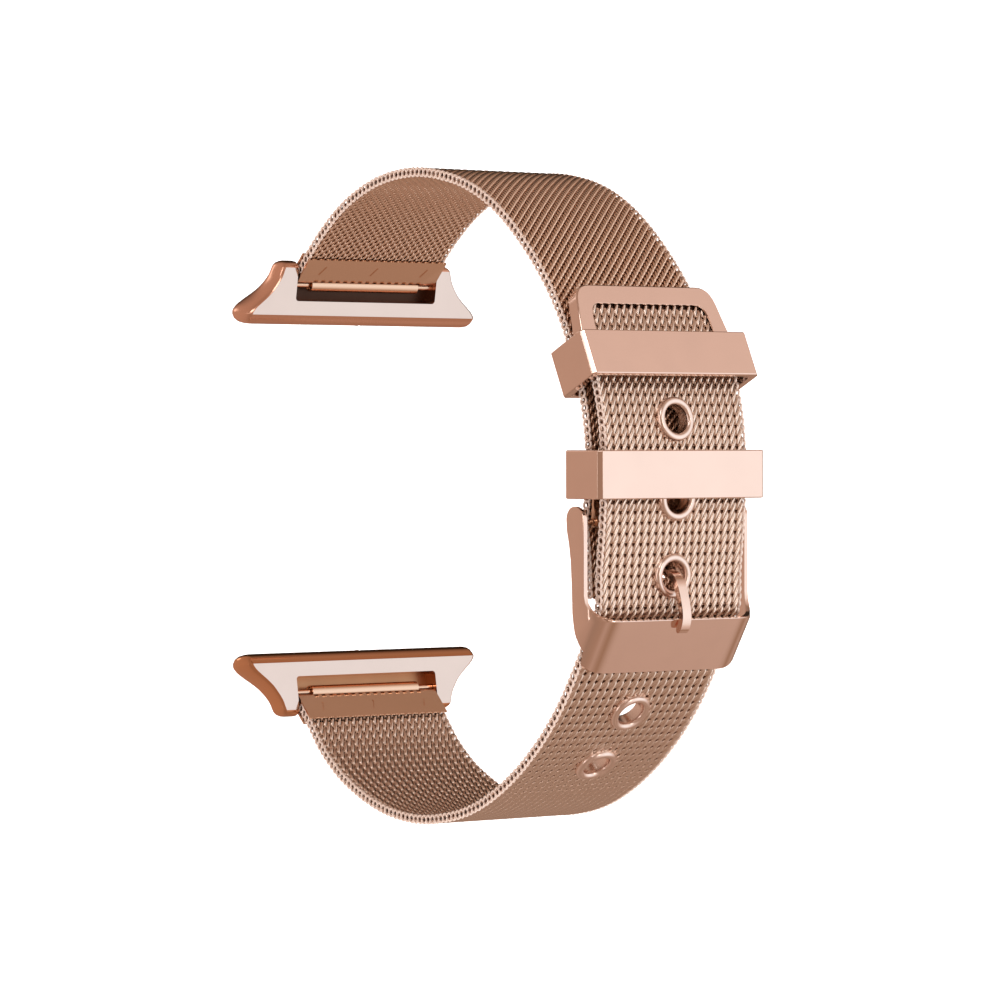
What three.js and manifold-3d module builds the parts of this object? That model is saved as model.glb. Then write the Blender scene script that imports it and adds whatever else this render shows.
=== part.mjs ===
// Closed Milanese-mesh watch band with a pin buckle and two slide-in watch adapters.
// Millimetres. X runs across the band, -Y is the buckle side, +Y the watch side, +Z up.
// The origin is the middle of the wrist opening, half way between the two adapters.
import * as THREE from "three";
import { mergeVertices } from "three/addons/utils/BufferGeometryUtils.js";
import Module from "manifold-3d";

const wasm = await Module();
wasm.setup();

// ---------- sizes ----------
const SHIFT_Y = 28.7; // path stations are written from the adapters' flat faces
const BAND_W = 20.0; // mesh width
const BAND_T = 1.0; // mesh body thickness

const ADAPTER_Z = 20.7; // height of the flat face's inner edge
const ADAPTER_TILT = THREE.MathUtils.degToRad(9.4);
const SLOT_HALF = 10.25; // half width of the slot between the ears
const SLOT_FLOOR = 1.7; // slot floor above the flat face's inner edge
const SLOT_WALL = 2.1; // where the slot's back wall starts
const SLOT_SILL = 4.1; // top of that wall
const BAR_Y = 1.1; // spring bar centre in the adapter's own frame
const BAR_H = 3.57;

const TUBE_R = 0.55; // strap spring bar
const TUBE_BORE = 0.4;
const TUBE_HALF = 7.6;
const TIP_R = 0.34;
const TIP_HOLE_R = 0.4;
const TIP_REACH = 11.0;
const KNUCKLE_R = 0.8;
const KNUCKLE_BORE = 0.62;
const KNUCKLE_HALF = 7.8;

const EYELET_PITCH = 8.6;
const EYELET_HOLE_R = 1.54;
const EYELET_NECK_R = 1.92;
const EYELET_RIM_R = 2.36;
const EYELET_COUNT = 6;

const KEEPER_HALF_W = 11.8;
const KEEPER_HALF_D = 3.2;
const KEEPER_H = 5.35;
const KEEPER_WALL_X = 0.95;
const KEEPER_WALL_Y = 0.58;
const KEEPER_BEVEL = 0.1;
const KEEPER_CORNER = 0.45;
const UPPER_KEEPER = { y: -55.51, z: 14.08, tilt: THREE.MathUtils.degToRad(25.4) };
const LOWER_KEEPER = { y: -57.3, z: 1.98, tilt: 0 };

const BUCKLE_PIVOT = { y: -56.95, z: -3.2 };
const BUCKLE_HALF_W = 11.9;
const BUCKLE_SHEET = 0.45;
const BUCKLE_CORNER = 4.0;
const BUCKLE_RIM = { y: -60.2, z: -14.05 };
const BUCKLE_FOOT_Z = -19.8;
const BUCKLE_LEAN = 0.62; // inward lean of the front bar per millimetre of height
const BUCKLE_TUBE_R = 0.4;
const BUCKLE_TIP_R = 0.24;
const BUCKLE_TUBE_HALF = 10.3;

// ---------- finishes ----------
const finish = (colour, roughness, metalness = 1) =>
  new THREE.MeshStandardMaterial({ color: colour, roughness, metalness });
const MESH_METAL = finish(0xc08a70, 0.38);
const BRIGHT_METAL = finish(0xd9a48c, 0.2);
const STEEL = finish(0xb9b6b2, 0.3);

const group = new THREE.Group();
group.name = "mesh_watch_band";

// ---------- solid helpers ----------
const toSolid = (geometry) => {
  const plain = geometry.index ? geometry.toNonIndexed() : geometry.clone();
  plain.deleteAttribute("normal");
  plain.deleteAttribute("uv");
  const merged = mergeVertices(plain, 1e-5);
  return new wasm.Manifold(new wasm.Mesh({
    numProp: 3,
    vertProperties: new Float32Array(merged.attributes.position.array),
    triVerts: new Uint32Array(merged.index.array),
  }));
};

const toGeometry = (solid) => {
  const mesh = solid.getMesh();
  const geometry = new THREE.BufferGeometry();
  geometry.setAttribute("position", new THREE.BufferAttribute(mesh.vertProperties, 3));
  geometry.setIndex(new THREE.BufferAttribute(mesh.triVerts, 1));
  geometry.computeVertexNormals();
  return geometry;
};

const place = (name, geometry, material) => {
  geometry.translate(0, SHIFT_Y, 0);
  const mesh = new THREE.Mesh(geometry, material);
  mesh.name = name;
  group.add(mesh);
};

const shapeOf = (points) => new THREE.Shape(points.map(([a, b]) => new THREE.Vector2(a, b)));

// An outline given as [y, z] points, carried across X.
const prismX = (outline, x0, x1) => {
  const geometry = new THREE.ExtrudeGeometry(shapeOf(outline), {
    depth: x1 - x0,
    bevelEnabled: false,
  });
  geometry.translate(0, 0, x0);
  geometry.applyMatrix4(new THREE.Matrix4().set(0, 0, 1, 0, 1, 0, 0, 0, 0, 1, 0, 0, 0, 0, 0, 1));
  return geometry;
};

// An outline given as [x, z] points, carried along Y.
const prismY = (shape, y0, y1) => {
  const geometry = new THREE.ExtrudeGeometry(shape, { depth: y1 - y0, bevelEnabled: false });
  geometry.rotateX(Math.PI / 2);
  geometry.translate(0, y1, 0);
  return geometry;
};

const boxAt = (sx, sy, sz, x, y, z) => new THREE.BoxGeometry(sx, sy, sz).translate(x, y, z);

const rodX = (radius, x0, x1, y, z, sides = 20) => {
  const rod = new THREE.CylinderGeometry(radius, radius, x1 - x0, sides);
  rod.rotateZ(Math.PI / 2);
  return rod.translate((x0 + x1) / 2, y, z);
};

// A solid of rings with the same number of points, closed by flat ends.
const loft = (rings) => {
  const count = rings[0].length;
  const positions = rings.flat(2);
  const index = [];
  for (let i = 0; i < rings.length - 1; i += 1) {
    for (let j = 0; j < count; j += 1) {
      const a = i * count + j;
      const b = i * count + ((j + 1) % count);
      index.push(a, b, a + count);
      index.push(b, b + count, a + count);
    }
  }
  const last = (rings.length - 1) * count;
  for (let j = 1; j < count - 1; j += 1) {
    index.push(0, j + 1, j);
    index.push(last, last + j, last + j + 1);
  }
  const geometry = new THREE.BufferGeometry();
  geometry.setAttribute("position", new THREE.Float32BufferAttribute(positions, 3));
  geometry.setIndex(index);
  return geometry;
};

// ---------- strap paths, as [y, z] stations of the middle of the mesh ----------
const BUCKLE_STRAP_PATH = [
  [-0.31, 25.71], [-2.36, 27.76], [-5.0, 30.1], [-9.1, 32.95], [-13.2, 34.85], [-17.2, 36.0],
  [-21.2, 36.53], [-25.1, 36.53], [-29.0, 36.0], [-32.8, 35.05], [-36.6, 33.5], [-40.3, 31.25],
  [-43.9, 28.3], [-47.4, 24.75], [-49.9, 21.6], [-52.0, 18.2], [-53.17, 15.74], [-54.11, 13.41],
  [-55.0, 11.0], [-55.8, 7.6], [-56.15, 4.7], [-56.2, 2.0], [-56.02, 0.0], [-55.7, -2.0],
  [-55.62, -3.7], [-55.92, -5.4], [-56.14, -7.2], [-56.26, -9.3], [-56.4, -11.5],
];
const HOLE_STRAP_PATH = [
  [-0.31, -25.71], [-2.36, -27.76], [-3.5, -29.1], [-4.8, -30.55], [-6.9, -32.35], [-8.9, -33.72], [-11.0, -34.8],
  [-13.0, -35.68], [-15.0, -36.4], [-17.0, -36.98], [-19.0, -37.4], [-21.0, -37.67],
  [-23.0, -37.82], [-24.9, -37.83], [-26.9, -37.7], [-28.8, -37.45], [-30.7, -37.12],
  [-32.6, -36.68], [-34.5, -36.1], [-36.4, -35.35], [-38.3, -34.43], [-40.2, -33.36],
  [-42.0, -32.2], [-44.2, -30.6], [-46.07, -29.0], [-47.93, -27.25], [-49.8, -25.2],
  [-51.62, -22.9], [-53.42, -20.2], [-54.8, -18.0], [-56.1, -15.95], [-57.22, -14.05],
  [-57.75, -12.8], [-57.9, -11.9], [-57.92, -10.8], [-57.9, -9.5], [-58.05, -7.6],
  [-58.3, -5.5], [-58.55, -2.8], [-58.72, -0.5], [-58.8, 2.0], [-58.72, 5.0], [-58.4, 8.0],
  [-57.7, 11.0], [-56.4, 14.5], [-54.87, 17.47], [-53.6, 20.2], [-53.25, 20.95],
];

const curveOf = (stations) => new THREE.CatmullRomCurve3(
  stations.map(([y, z]) => new THREE.Vector3(0, y, z)), false, "centripetal");
const BUCKLE_CURVE = curveOf(BUCKLE_STRAP_PATH);
const HOLE_CURVE = curveOf(HOLE_STRAP_PATH);

// Point and outward normal at a fraction u of the curve's length.
const frameAt = (curve, u) => {
  const point = curve.getPointAt(u);
  const tangent = curve.getTangentAt(u);
  return { y: point.y, z: point.z, ty: tangent.y, tz: tangent.z };
};

const stripOutline = (curve, u0, u1, steps, halfAt) => {
  const left = [];
  const right = [];
  for (let i = 0; i <= steps; i += 1) {
    const f = frameAt(curve, u0 + ((u1 - u0) * i) / steps);
    const half = halfAt(f.z);
    left.push([f.y - f.tz * half, f.z + f.ty * half]);
    right.push([f.y + f.tz * half, f.z - f.ty * half]);
  }
  return left.concat(right.reverse());
};

const fractionNear = (curve, y, z) => {
  let best = 0;
  let distance = Infinity;
  for (let i = 0; i <= 2000; i += 1) {
    const f = frameAt(curve, i / 2000);
    const d = Math.hypot(f.y - y, f.z - z);
    if (d < distance) {
      distance = d;
      best = i / 2000;
    }
  }
  return best;
};

// A tool turned so that its own +Z looks along the strap's normal at the given fraction.
const onStrap = (geometry, curve, u) => {
  const f = frameAt(curve, u);
  const angle = Math.atan2(f.ty, -f.tz);
  geometry.rotateX(-Math.PI / 2 + angle);
  return geometry.translate(0, f.y, f.z);
};

// ---------- eyelets ----------
const HOLE_LENGTH = HOLE_CURVE.getLength();
const TONGUE_EYELET_U = fractionNear(HOLE_CURVE, -57.9, -9.2);
const eyeletFractions = [];
for (let i = -2; i < EYELET_COUNT - 2; i += 1) {
  eyeletFractions.push(TONGUE_EYELET_U - (i * EYELET_PITCH) / HOLE_LENGTH);
}

const eyeletProfile = () => {
  const under = BAND_T / 2 + 0.18;
  return [
    [EYELET_HOLE_R, -0.66], [EYELET_HOLE_R + 0.2, -0.9], [EYELET_NECK_R + 0.1, -0.9],
    [EYELET_RIM_R - 0.05, -0.8], [EYELET_RIM_R, -under], [EYELET_NECK_R, -under],
    [EYELET_NECK_R, under], [EYELET_RIM_R, under], [EYELET_RIM_R - 0.05, 0.8],
    [EYELET_NECK_R + 0.1, 0.98], [EYELET_HOLE_R + 0.22, 0.98], [EYELET_HOLE_R, 0.72],
    [EYELET_HOLE_R, -0.66],
  ].map(([r, h]) => new THREE.Vector2(r, h));
};

const makeEyelets = () => {
  eyeletFractions.forEach((u, i) => {
    const ring = new THREE.LatheGeometry(eyeletProfile(), 28);
    ring.rotateX(Math.PI / 2);
    place(`eyelet_${i + 1}`, toGeometry(toSolid(onStrap(ring, HOLE_CURVE, u))), BRIGHT_METAL);
  });
};

// ---------- mesh straps ----------
const SPLIT_GAP = 0.4; // gap where the end length flexes
const UPPER_FLEX = { y: -9.1, z: 32.95 };
const LOWER_FLEX = { y: -8.9, z: -33.72 };

const fullHalf = () => BAND_T / 2;
// Below the buckle bar the mesh thins into a flap that lies between the wrist and the tail.
const flapHalf = (z) => THREE.MathUtils.clamp(0.5 + (z + 1) * 0.024, 0.36, BAND_T / 2);

const makeStrap = (name, curve, u0, u1, steps, holes, halfAt = fullHalf, cuts = []) => {
  const outline = stripOutline(curve, u0, u1, steps, halfAt);
  let solid = toSolid(prismX(outline, -BAND_W / 2, BAND_W / 2));
  holes.forEach((u) => {
    const drill = new THREE.CylinderGeometry(EYELET_NECK_R + 0.13, EYELET_NECK_R + 0.13, 3, 24);
    drill.rotateX(Math.PI / 2);
    solid = solid.subtract(toSolid(onStrap(drill, curve, u)));
  });
  cuts.forEach((cut) => {
    solid = solid.subtract(toSolid(cut));
  });
  place(name, toGeometry(solid), MESH_METAL);
};

const makeStraps = () => {
  const gapA = SPLIT_GAP / 2 / BUCKLE_CURVE.getLength();
  const splitA = fractionNear(BUCKLE_CURVE, UPPER_FLEX.y, UPPER_FLEX.z);
  makeStrap("buckle_strap_end", BUCKLE_CURVE, 0, splitA - gapA, 10, []);
  const belowArch = (z) => (z < 0 ? flapHalf(z) : BAND_T / 2);
  const tongueSlot = boxAt(2.0, 4, 4.7, 0, -56.2, -7.15);
  makeStrap("buckle_strap", BUCKLE_CURVE, splitA + gapA, 1, 84, [], belowArch, [tongueSlot]);
  const gapB = SPLIT_GAP / 2 / HOLE_LENGTH;
  const splitB = fractionNear(HOLE_CURVE, LOWER_FLEX.y, LOWER_FLEX.z);
  makeStrap("hole_strap_end", HOLE_CURVE, 0, splitB - gapB, 10, []);
  makeStrap("hole_strap", HOLE_CURVE, splitB + gapB, 1, 110, eyeletFractions, fullHalf,
    [tailTrim(-1), tailTrim(1)]);
};

// ---------- tail tip: a cap round the end of the mesh, with a window in its outer face ----------
const TAIL_START = { y: -55.2, z: 16.8 };
const TAIL_ANGLE = Math.atan2(20.95 - 16.8, -53.25 + 55.2);
const TAIL_LENGTH = 6.35;
const TAIL_DEEP = 4.95; // how far the pocket for the mesh reaches up the cap

// Carries a solid drawn flat, with Y along the tail and Z outward, onto the tail's end.
const onTail = (geometry) => {
  geometry.rotateX(TAIL_ANGLE);
  return geometry.translate(0, TAIL_START.y, TAIL_START.z);
};

const taperAt = (y) => 9.8 - 0.155 * y;

// The mesh narrows inside the cap, so each side loses a sliver.
const tailTrim = (side) => {
  const points = [[taperAt(0) * side, -0.35], [13 * side, -0.35], [13 * side, 8],
    [taperAt(8) * side, 8]];
  if (side < 0) points.reverse();
  const wedge = new THREE.ExtrudeGeometry(shapeOf(points), { depth: 4, bevelEnabled: false });
  return onTail(wedge.translate(0, 0, -2));
};

const makeTailTip = () => {
  const outline = new THREE.Shape();
  outline.moveTo(-10.62, 0);
  outline.lineTo(10.62, 0);
  outline.lineTo(9.95, TAIL_LENGTH - 2.2);
  outline.quadraticCurveTo(9.6, TAIL_LENGTH, 7.7, TAIL_LENGTH);
  outline.lineTo(-7.7, TAIL_LENGTH);
  outline.quadraticCurveTo(-9.6, TAIL_LENGTH, -9.95, TAIL_LENGTH - 2.2);
  outline.closePath();
  const cap = new THREE.ExtrudeGeometry(outline, {
    depth: 1.4,
    bevelEnabled: true,
    bevelThickness: 0.15,
    bevelSize: 0.15,
    bevelOffset: -0.15,
    bevelSegments: 1,
    curveSegments: 6,
  });
  let solid = toSolid(cap.translate(0, 0, -0.7));
  const pocket = shapeOf([[-taperAt(-2) - 0.12, -2], [taperAt(-2) + 0.12, -2],
    [taperAt(TAIL_DEEP) + 0.12, TAIL_DEEP], [-taperAt(TAIL_DEEP) - 0.12, TAIL_DEEP]]);
  const half = BAND_T / 2 + 0.1;
  const hollow = new THREE.ExtrudeGeometry(pocket, { depth: 2 * half, bevelEnabled: false });
  solid = solid.subtract(toSolid(hollow.translate(0, 0, -half)));
  const window = new THREE.Shape();
  window.moveTo(-8.6, -2.2);
  window.lineTo(8.6, -2.2);
  window.lineTo(8.3, 2.2);
  window.quadraticCurveTo(8.15, 4.0, 7.0, 4.05);
  window.lineTo(-7.0, 4.05);
  window.quadraticCurveTo(-8.15, 4.0, -8.3, 2.2);
  window.closePath();
  const opening = new THREE.ExtrudeGeometry(window, {
    depth: 1.2,
    bevelEnabled: false,
    curveSegments: 5,
  });
  solid = solid.subtract(toSolid(opening.translate(0, 0, 0.3)));
  place("tail_tip_cap", onTail(toGeometry(solid)), BRIGHT_METAL);
};

// ---------- keepers ----------
// A rectangle with its corners cut at 45 degrees.
const cutRect = (hx, hy, c) => shapeOf([
  [-hx + c, -hy], [hx - c, -hy], [hx, -hy + c], [hx, hy - c],
  [hx - c, hy], [-hx + c, hy], [-hx, hy - c], [-hx, -hy + c],
]);

const makeKeeper = (name, seat) => {
  const outer = new THREE.ExtrudeGeometry(cutRect(KEEPER_HALF_W, KEEPER_HALF_D, KEEPER_CORNER), {
    depth: KEEPER_H - 2 * KEEPER_BEVEL,
    bevelEnabled: true,
    bevelThickness: KEEPER_BEVEL,
    bevelSize: KEEPER_BEVEL,
    bevelOffset: -KEEPER_BEVEL,
    bevelSegments: 1,
  });
  outer.translate(0, 0, -KEEPER_H / 2 + KEEPER_BEVEL);
  const inner = boxAt(2 * (KEEPER_HALF_W - KEEPER_WALL_X), 2 * (KEEPER_HALF_D - KEEPER_WALL_Y),
    KEEPER_H + 2, 0, 0, 0);
  const geometry = toGeometry(toSolid(outer).subtract(toSolid(inner)));
  geometry.rotateX(-seat.tilt);
  place(name, geometry.translate(0, seat.y, seat.z), BRIGHT_METAL);
};

// ---------- buckle ----------
// One turned level of the folded U: outer and inner wall, open toward +Y.
const uWall = (y) => {
  const shape = new THREE.Shape();
  const w = BUCKLE_HALF_W;
  const r = BUCKLE_CORNER;
  const s = BUCKLE_SHEET;
  shape.moveTo(-w, y + 9);
  shape.lineTo(-w, y + r);
  shape.absarc(-w + r, y + r, r, Math.PI, Math.PI * 1.5);
  shape.lineTo(w - r, y);
  shape.absarc(w - r, y + r, r, -Math.PI / 2, 0);
  shape.lineTo(w, y + 9);
  shape.lineTo(w - s, y + 9);
  shape.lineTo(w - s, y + r);
  shape.absarc(w - r, y + r, r - s, 0, -Math.PI / 2, true);
  shape.lineTo(-w + r, y + s);
  shape.absarc(-w + r, y + r, r - s, -Math.PI / 2, -Math.PI, true);
  shape.lineTo(-w + s, y + 9);
  shape.closePath();
  return shape;
};

const wallPiece = (z0, z1, lean) => {
  const geometry = new THREE.ExtrudeGeometry(uWall(BUCKLE_RIM.y), {
    depth: z1 - z0,
    bevelEnabled: false,
    curveSegments: 8,
  });
  geometry.translate(0, 0, z0);
  const shear = new THREE.Matrix4().set(
    1, 0, 0, 0,
    0, 1, -lean, lean * BUCKLE_RIM.z,
    0, 0, 1, 0,
    0, 0, 0, 1);
  return geometry.applyMatrix4(shear);
};

const buckleSide = () => {
  const points = [];
  for (let i = 0; i <= 12; i += 1) {
    const a = (Math.PI * i) / 12;
    points.push([-56.15 + 1.4 * Math.cos(a), -2.9 + 1.4 * Math.sin(a)]);
  }
  points.push([-57.55, -11.2], [-57.68, -12.0], [-58.1, -12.75], [-58.8, -13.4]);
  points.push([-59.6, -13.85], [-60.5, -14.04], [-62, -14.05], [-62, -19.8], [-55.2, -19.8]);
  points.push([-56.0, -18.6], [-56.6, -17.3], [-56.15, -15.4], [-55.8, -13.2], [-55.68, -10]);
  points.push([-55.5, -7.4], [-55.2, -5.6], [-54.85, -4.2]);
  return points;
};

const makeBuckleFrame = () => {
  const rim = BUCKLE_RIM.z;
  let solid = toSolid(wallPiece(rim, -1, 0)).add(toSolid(wallPiece(BUCKLE_FOOT_Z - 1, rim,
    BUCKLE_LEAN)));
  solid = solid.intersect(toSolid(prismX(buckleSide(), -13, 13)));
  const front = new THREE.Shape();
  front.moveTo(-12.5, 0);
  front.lineTo(-12.5, -13);
  front.lineTo(-11.9, -16.2);
  front.quadraticCurveTo(-11.5, BUCKLE_FOOT_Z, -8.0, BUCKLE_FOOT_Z);
  front.lineTo(8.0, BUCKLE_FOOT_Z);
  front.quadraticCurveTo(11.5, BUCKLE_FOOT_Z, 11.9, -16.2);
  front.lineTo(12.5, -13);
  front.lineTo(12.5, 0);
  front.closePath();
  solid = solid.intersect(toSolid(prismY(front, -64, -50)));
  const p = BUCKLE_PIVOT;
  const reach = BUCKLE_HALF_W - 0.2;
  solid = solid.subtract(toSolid(rodX(BUCKLE_TIP_R + 0.05, -reach, reach, p.y, p.z)));
  place("buckle_frame", toGeometry(solid), BRIGHT_METAL);
};

const tongueHalfWidth = 0.6;
const makeTongue = () => {
  const spine = curveOf([
    [-56.9, -3.75], [-56.72, -5.4], [-56.47, -6.7], [-56.5, -7.6], [-56.9, -8.4],
    [-57.85, -8.85], [-58.85, -9.2], [-59.6, -9.85], [-60.12, -11.1], [-60.5, -12.4],
    [-60.68, -13.4], [-60.62, -14.2], [-60.38, -14.8], [-60.18, -15.1],
  ]);
  const outline = stripOutline(spine, 0, 1, 34, () => 0.37);
  outline.splice(35, 0, [-59.82, -15.2], [-59.98, -15.47], [-60.26, -15.46]);
  let solid = toSolid(prismX(outline, -tongueHalfWidth, tongueHalfWidth));
  const p = BUCKLE_PIVOT;
  solid = solid.add(toSolid(rodX(0.74, -tongueHalfWidth, tongueHalfWidth, p.y, p.z)));
  solid = solid.subtract(toSolid(rodX(BUCKLE_TUBE_R + 0.05, -2, 2, p.y, p.z)));
  place("tongue", toGeometry(solid), BRIGHT_METAL);
};

// Sheet loop that ties the strap to the buckle's bar, with a gap for the tongue.
const makeBuckleHinge = () => {
  const p = BUCKLE_PIVOT;
  const half = 9.8;
  let solid = toSolid(rodX(0.6, -half, half, p.y, p.z));
  const tab = [
    [-56.78, 1.2], [-56.98, 1.2], [-56.9, -1.4], [-57.3, -2.8], [-56.95, -3.2], [-56.5, -2.9],
    [-56.62, -1.6],
  ];
  solid = solid.add(toSolid(prismX(tab, -half, half)));
  solid = solid.subtract(toSolid(rodX(BUCKLE_TUBE_R + 0.05, -half - 1, half + 1, p.y, p.z)));
  solid = solid.subtract(toSolid(boxAt(1.8, 3, 4.0, 0, -57, -3.4)));
  place("buckle_hinge_loop", toGeometry(solid), MESH_METAL);
};

// ---------- spring bars ----------
class Coil extends THREE.Curve {
  constructor(radius, length, turns) {
    super();
    this.radius = radius;
    this.length = length;
    this.turns = turns;
  }

  getPoint(t, target = new THREE.Vector3()) {
    const a = t * this.turns * Math.PI * 2;
    return target.set((t - 0.5) * this.length, this.radius * Math.cos(a),
      this.radius * Math.sin(a));
  }
}

const coilSolid = (radius, wire, length, turns) => {
  const section = new THREE.Shape();
  section.absarc(0, 0, wire, 0, Math.PI * 2);
  return new THREE.ExtrudeGeometry(section, {
    steps: turns * 10,
    extrudePath: new Coil(radius, length, turns),
    bevelEnabled: false,
    curveSegments: 3,
  });
};

const makeBar = (prefix, y, z, outer, bore, half, tipR, reach) => {
  const tube = toSolid(rodX(outer, -half, half, y, z)).subtract(
    toSolid(rodX(bore, -half - 1, half + 1, y, z)));
  place(`${prefix}_tube`, toGeometry(tube), STEEL);
  [-1, 1].forEach((side) => {
    const inner = side * (half - 3.2);
    const a = Math.min(inner, side * reach);
    const b = Math.max(inner, side * reach);
    const pin = toSolid(rodX(tipR, a, b, y, z));
    const name = side < 0 ? `${prefix}_tip_left` : `${prefix}_tip_right`;
    place(name, toGeometry(pin), STEEL);
  });
  const coil = coilSolid(bore - 0.12, 0.07, 2 * (half - 3.2) - 2.6, 6);
  coil.translate(0, y, z);
  place(`${prefix}_spring`, toGeometry(toSolid(coil)), STEEL);
};

// ---------- watch adapters ----------
// Level h above the flat face's inner edge: half width, front y and back y.
const ADAPTER_LEVELS = [
  [-1.3, 16.15, 1.3, 2.1], [-1.17, 16.65, 0.95, 2.68], [-0.85, 17.0, 0.58, 3.16],
  [-0.4, 17.15, 0.26, 3.4], [0.0, 17.15, 0.0, 3.47], [0.6, 16.75, 0.0, 3.5],
  [1.2, 16.05, 0.0, 3.45], [1.9, 15.15, 0.0, 3.25], [2.7, 14.25, 0.0, 2.95],
  [3.5, 13.6, 0.0, 2.7], [4.4, 13.05, 0.0, 2.5], [5.2, 12.78, 0.0, 2.42],
  [5.7, 12.62, 0.0, 2.36], [6.0, 12.4, 0.22, 2.25], [6.25, 12.0, 0.6, 2.0],
  [6.35, 11.7, 0.95, 1.7],
];

// Where the outline stands between the face's edge (0) and the back (1), and how far in from w.
const ADAPTER_SIDE = [
  [0.0, 1.0], [0.05, 0.72], [0.14, 0.45], [0.28, 0.22], [0.46, 0.06], [0.66, -0.02],
  [0.84, 0.0], [0.95, 0.16], [1.0, 0.5],
];

const adapterRing = ([h, w, front, back]) => {
  const d = back - front;
  const inset = Math.min(0.95, 0.55 + Math.max(0, 0.35 - h * 0.1));
  const half = ADAPTER_SIDE.map(([f, g]) => [w - g * inset, front + f * d]);
  const right = half.map(([x, y]) => [x, y, h]);
  const left = half.slice().reverse().map(([x, y]) => [-x, y, h]);
  return right.concat(left);
};

// Levels between the measured ones, so that the swept ends are smooth.
const finerLevels = () => {
  const out = [];
  for (let i = 0; i < ADAPTER_LEVELS.length - 1; i += 1) {
    const a = ADAPTER_LEVELS[Math.max(0, i - 1)];
    const b = ADAPTER_LEVELS[i];
    const c = ADAPTER_LEVELS[i + 1];
    const d = ADAPTER_LEVELS[Math.min(ADAPTER_LEVELS.length - 1, i + 2)];
    const between = (k) => (k === 0 || k === 2
      ? (b[k] + c[k]) / 2
      : (9 * (b[k] + c[k]) - a[k] - d[k]) / 16);
    out.push(b);
    if (i > 3 && i < 12) out.push([0, 1, 2, 3].map(between));
  }
  out.push(ADAPTER_LEVELS[ADAPTER_LEVELS.length - 1]);
  return out;
};

const slotTool = (floor, y0, y1) => {
  const s = new THREE.Shape();
  const r = 0.4;
  s.moveTo(-SLOT_HALF, 9);
  s.lineTo(-SLOT_HALF, floor + r);
  s.absarc(-SLOT_HALF + r, floor + r, r, Math.PI, Math.PI * 1.5);
  s.lineTo(SLOT_HALF - r, floor);
  s.absarc(SLOT_HALF - r, floor + r, r, -Math.PI / 2, 0);
  s.lineTo(SLOT_HALF, 9);
  s.closePath();
  return prismY(s, y0, y1);
};

const PLUNGER_Y = 1.6; // the detent slides along the adapter's height, out of its watch side
const PLUNGER_HEAD = -1.38;
const adapterSolid = () => {
  let solid = toSolid(loft(finerLevels().map(adapterRing)));
  solid = solid.subtract(toSolid(slotTool(SLOT_FLOOR, -2, SLOT_WALL)));
  solid = solid.subtract(toSolid(slotTool(SLOT_SILL, -2, 6)));
  [-1, 1].forEach((side) => {
    const a = Math.min(side * 9, side * 11.4);
    const b = Math.max(side * 9, side * 11.4);
    solid = solid.subtract(toSolid(rodX(TIP_HOLE_R, a, b, BAR_Y, BAR_H)));
  });
  const seat = new THREE.CylinderGeometry(0.47, 0.47, 3, 20);
  seat.rotateX(Math.PI / 2);
  return solid.subtract(toSolid(seat.translate(0, PLUNGER_Y, -0.5)));
};

// Carries a solid from the adapter's own frame to the upper or lower adapter.
const seatAdapter = (geometry, side) => {
  geometry.rotateX(ADAPTER_TILT);
  geometry.translate(0, 0, ADAPTER_Z);
  if (side > 0) return geometry;
  return geometry.applyMatrix4(new THREE.Matrix4().makeRotationY(Math.PI));
};

const barCentre = (side) => {
  const c = Math.cos(ADAPTER_TILT);
  const s = Math.sin(ADAPTER_TILT);
  return { y: BAR_Y * c - BAR_H * s, z: side * (ADAPTER_Z + BAR_Y * s + BAR_H * c) };
};

const makeAdapter = (prefix, side) => {
  const body = toGeometry(adapterSolid());
  place(`${prefix}_adapter`, toGeometry(toSolid(seatAdapter(body, side))), BRIGHT_METAL);
  const head = [[0, 0], [0.22, 0.03], [0.35, 0.16], [0.4, 0.36], [0.4, 1.6], [0, 1.6]];
  const plunger = new THREE.LatheGeometry(head.map(([r, h]) => new THREE.Vector2(r, h)), 20);
  plunger.rotateX(Math.PI / 2);
  plunger.translate(0, PLUNGER_Y, PLUNGER_HEAD);
  place(`${prefix}_detent_plunger`, toGeometry(toSolid(seatAdapter(plunger, side))), STEEL);
  const spring = coilSolid(0.3, 0.06, 0.32, 2);
  spring.rotateY(Math.PI / 2);
  spring.translate(0, PLUNGER_Y, 0.71);
  place(`${prefix}_detent_spring`, toGeometry(toSolid(seatAdapter(spring, side))), STEEL);
};

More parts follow.
